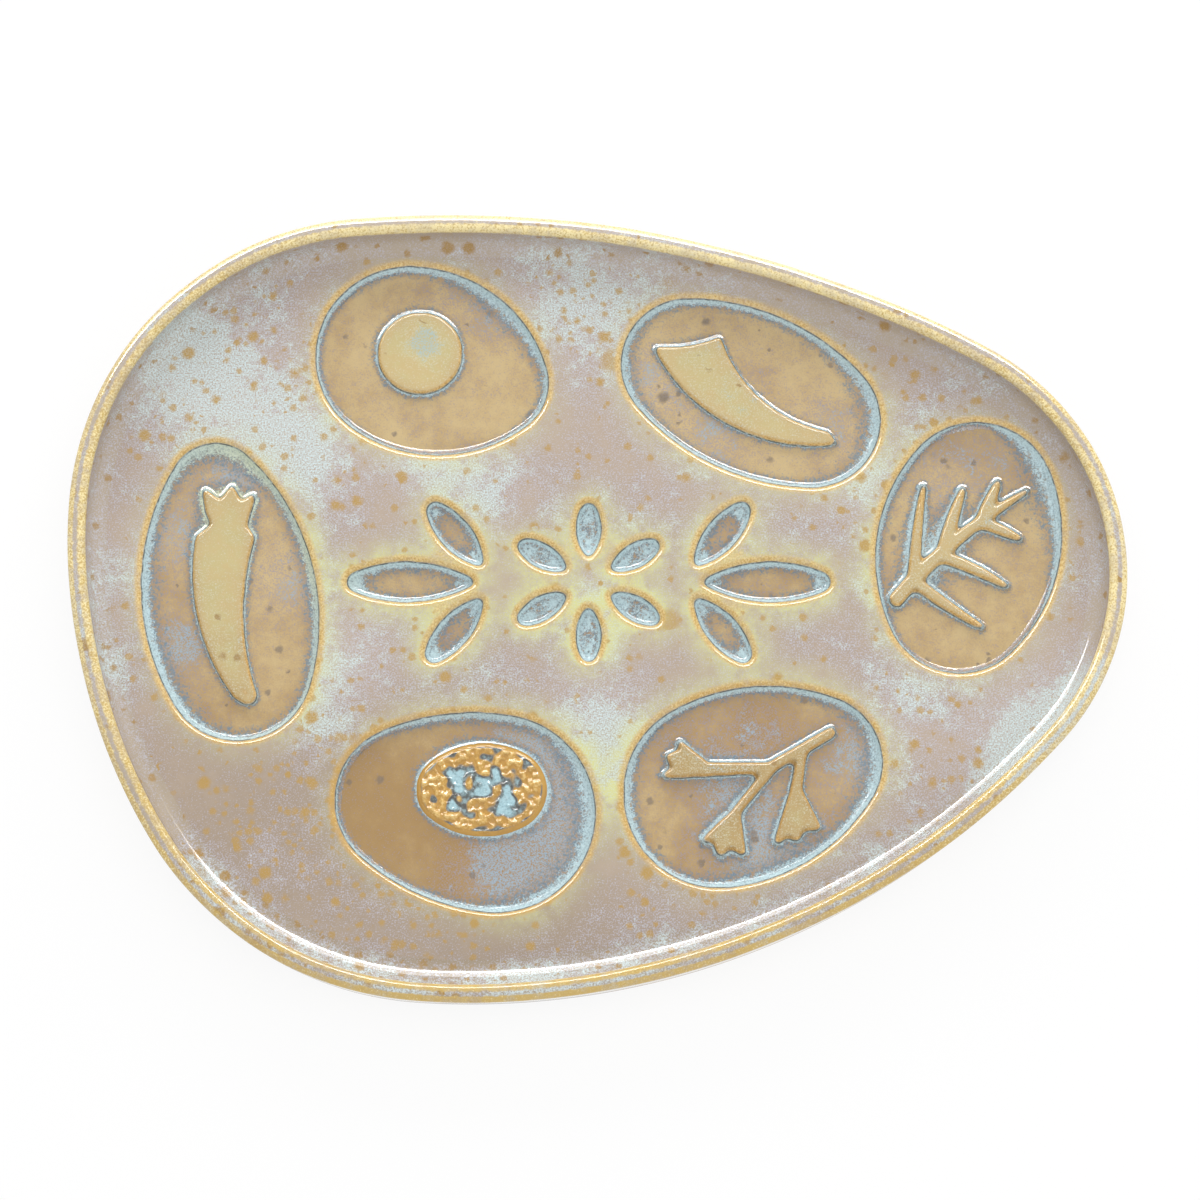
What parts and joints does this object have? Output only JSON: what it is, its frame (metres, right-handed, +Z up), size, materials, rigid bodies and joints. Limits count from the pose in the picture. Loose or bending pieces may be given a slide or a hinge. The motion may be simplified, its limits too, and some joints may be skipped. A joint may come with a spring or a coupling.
{
  "type": "seder plate",
  "caption": "Egg-shaped slab-built stoneware tray with a coved rim, sunken food wells holding raised food pictures, and a petal ornament under a pooled glossy glaze.",
  "frame": {"origin": "centre of the plan outline's box, on the table under the foot ring", "axes": "+X along the long side towards the narrow end, +Y towards the egg and bone wells, +Z up out of the tray"},
  "size_m": [0.3539, 0.2679, 0.021],
  "materials": {
    "floor_glaze": "glossy mauve-grey rutile glaze with ochre specks",
    "rim_glaze": "glossy mauve-grey glaze breaking gold on the lip",
    "well_glaze": "glossy tan glaze pooling blue at the walls",
    "sprig_glaze": "glossy tan glaze breaking gold on the edges",
    "charoset_glaze": "glossy ochre glaze, blue in the hollows",
    "bare_clay": "matt unglazed stoneware"
  },
  "bodies": {
    "root": {"base_slab": "well_glaze", "relief_slab": "floor_glaze", "rim_wall": "rim_glaze", "foot_ring": "bare_clay", "egg_yolk": "sprig_glaze", "shank_bone": "sprig_glaze", "bitter_root": "sprig_glaze", "lettuce_leaf": "sprig_glaze", "parsley_sprig": "sprig_glaze", "charoset_mound": "charoset_glaze", "charoset_crumbs": "charoset_glaze"}
  },
  "joints": []
}
